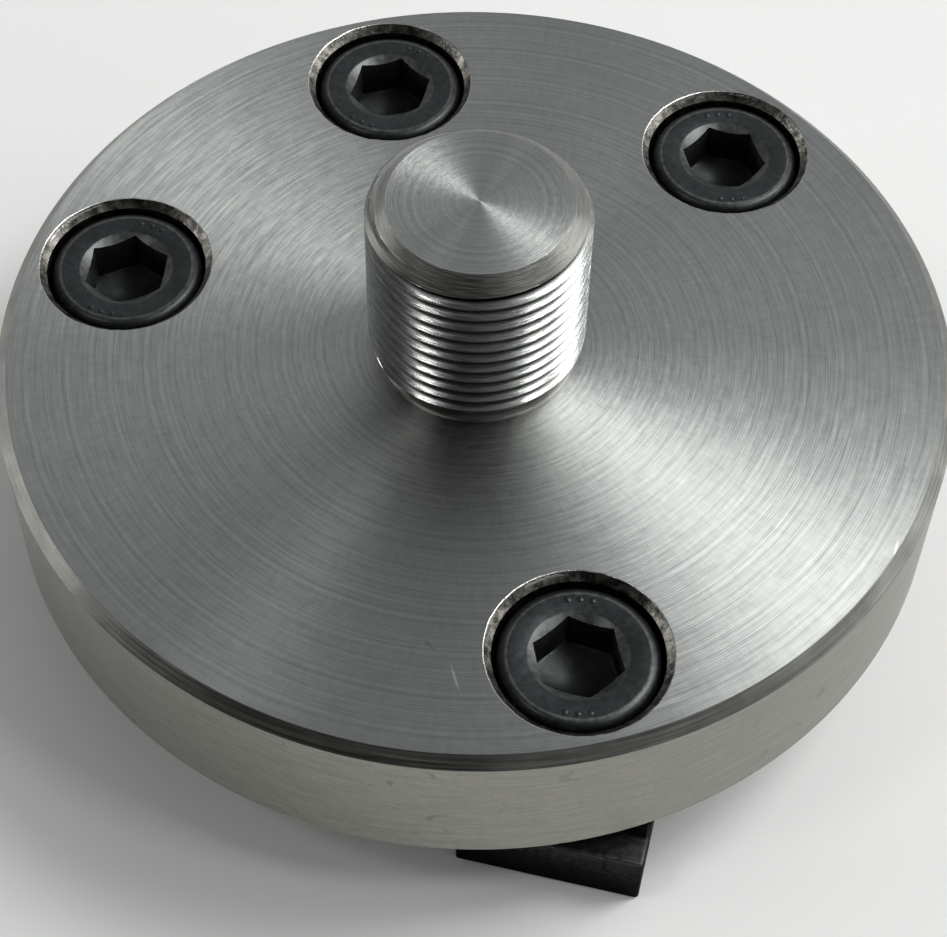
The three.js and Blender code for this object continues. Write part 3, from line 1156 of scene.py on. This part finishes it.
class ADAPTER_OT_nuts(bpy.types.Operator):
    """Make the four T-nuts"""

    bl_idname = "adapter.nuts"
    bl_label = "T-nuts"

    def execute(self, context):
        settings = context.scene.adapter_nuts
        black = black_oxide_steel("dull_black_oxide_steel", settings.black, 0.42, 3e-5, 0.2)
        tap = nut_tap(settings, context.scene.adapter_screws)
        for station in STATIONS:
            turn = settings.front_turn if station == "front" else station_angle(station)
            mesh = nut_blank(settings)
            mesh.transform(Matrix.Translation((0, 0, NUT_LOW.z)) @ Matrix.Rotation(turn, 4, "Z"))
            mesh = cut(mesh, [tap.copy()], "slot_nut")
            mark_wear_and_painted_light(mesh, nut_wear(settings, turn))
            mesh.transform(Matrix.Translation(station_centre(station)))
            mesh.materials.clear()
            mesh.materials.append(black)
            name = f"slot_nut_{station}"
            finished(mesh, name, f"nut_{station}", f"t_nut_{station}")
        return {"FINISHED"}


# ---------------------------------------------------------------- stage

def direction(azimuth, elevation):
    """Towards a point round the part: azimuth 0 is in front of it, in -Y, and 90 is at +X."""
    level = math.cos(elevation)
    return Vector((math.sin(azimuth) * level, -math.cos(azimuth) * level, math.sin(elevation)))


def softbox(name, azimuth, elevation, distance, width, height, watts):
    """A rectangular light that faces the part. Its angles are in degrees and its sizes in metres."""
    light = bpy.data.lights.new(name, "AREA")
    light.shape = "RECTANGLE"
    light.size = width
    light.size_y = height
    light.energy = watts
    made = bpy.data.objects.new(name, light)
    bpy.context.scene.collection.objects.link(made)
    away = direction(math.radians(azimuth), math.radians(elevation))
    made.location = away * distance
    made.rotation_mode = "QUATERNION"
    made.rotation_quaternion = away.to_track_quat("Z", "Y")


def studio_world(settings):
    """A plain room: palest beyond the part on the right, and dimmest to the camera's left."""
    world = bpy.data.worlds.new("studio")
    world.use_nodes = True
    tree = world.node_tree
    tree.nodes.clear()
    towards = direction(settings.camera_azimuth - math.radians(48), math.radians(28))
    look = add(tree, "ShaderNodeTexCoord").outputs["Generated"]
    nearness = add(
        tree, "ShaderNodeVectorMath", {0: look, 1: towards}, operation="DOT_PRODUCT"
    ).outputs["Value"]
    share = add(tree, "ShaderNodeMapRange", {"Value": nearness, "From Min": -1.0, "From Max": 1.0})
    shade = add(
        tree,
        "ShaderNodeValToRGB",
        {"Fac": share},
        stops=[
            (0.0, linear("#cccfd0")),
            (0.5, linear("#b9bcbd")),
            (0.88, linear("#242424")),
        ],
    )
    sky = add(tree, "ShaderNodeBackground", {"Color": shade.outputs[0], "Strength": 1.0})
    add(tree, "ShaderNodeOutputWorld", {"Surface": sky})
    return world


class ADAPTER_OT_stage(bpy.types.Operator):
    """Set the camera, the lights and the floor"""

    bl_idname = "adapter.stage"
    bl_label = "Stage"

    def execute(self, context):
        settings = context.scene.adapter_stage
        scene = context.scene
        scene.view_settings.view_transform = "Standard"

        camera = bpy.data.objects.new("camera", bpy.data.cameras.new("camera"))
        scene.collection.objects.link(camera)
        scene.camera = camera
        camera.data.lens = settings.lens
        camera.data.clip_start = 0.005
        camera.data.clip_end = 20
        centre = Vector((0, 0, FACE_HEIGHT))
        camera.location = centre + settings.camera_distance * direction(
            settings.camera_azimuth, settings.camera_elevation
        )
        aim = centre + settings.camera_aim * direction(settings.camera_azimuth, 0)
        sight = (aim - camera.location).to_track_quat("-Z", "Y")
        camera.rotation_mode = "QUATERNION"
        camera.rotation_quaternion = sight @ Quaternion((0, 0, 1), settings.camera_roll)

        shape = bmesh.new()
        bmesh.ops.create_circle(shape, cap_ends=True, segments=96, radius=4)
        bmesh.ops.translate(shape, verts=shape.verts, vec=(0, 0, NUT_LOW.z))
        floor = new_object("floor", mesh_of(shape, "floor"))
        floor.data.materials.append(pale_floor(settings.floor))

        scene.world = studio_world(settings)
        facing = math.degrees(settings.camera_azimuth)
        softbox("window", facing + 112, 56, 0.9, 0.34, 0.36, 3.6)
        softbox("right_fill", facing + 105, 20, 1.1, 0.8, 0.4, 4)
        softbox("left_fill", facing - 100, 12, 1.1, 0.8, 0.25, 3)
        softbox("right_lamp", facing + 67, 59, 0.9, 0.14, 0.14, 0.7)
        softbox("left_lamp", facing - 67, 59, 0.9, 0.14, 0.14, 0.5)
        return {"FINISHED"}


class ADAPTER_PT_panel(bpy.types.Panel):
    """The pieces and the stage, in the order they are made"""

    bl_label = "Adapter plate"
    bl_idname = "ADAPTER_PT_panel"
    bl_space_type = "VIEW_3D"
    bl_region_type = "UI"
    bl_category = "Adapter plate"

    def draw(self, context):
        for settings, operator in SECTIONS:
            box = self.layout.box()
            group = getattr(context.scene, settings)
            for name in group.__annotations__:
                box.prop(group, name)
            box.operator(operator.bl_idname)


SECTIONS = (
    ("adapter_stage", ADAPTER_OT_stage),
    ("adapter_plate", ADAPTER_OT_plate),
    ("adapter_screws", ADAPTER_OT_screws),
    ("adapter_nuts", ADAPTER_OT_nuts),
)
SETTINGS = {
    "adapter_stage": StageSettings,
    "adapter_plate": PlateSettings,
    "adapter_screws": ScrewSettings,
    "adapter_nuts": NutSettings,
}
CLASSES = (*SETTINGS.values(), *(operator for _, operator in SECTIONS), ADAPTER_PT_panel)


def register():
    for cls in CLASSES:
        bpy.utils.register_class(cls)
    for name, group in SETTINGS.items():
        setattr(bpy.types.Scene, name, bpy.props.PointerProperty(type=group))


def unregister():
    for name in SETTINGS:
        delattr(bpy.types.Scene, name)
    for cls in reversed(CLASSES):
        bpy.utils.unregister_class(cls)


def main():
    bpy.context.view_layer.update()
    register()
    bpy.ops.adapter.stage()
    bpy.ops.adapter.plate()
    bpy.ops.adapter.screws()
    bpy.ops.adapter.nuts()


if __name__ == "__main__":
    main()
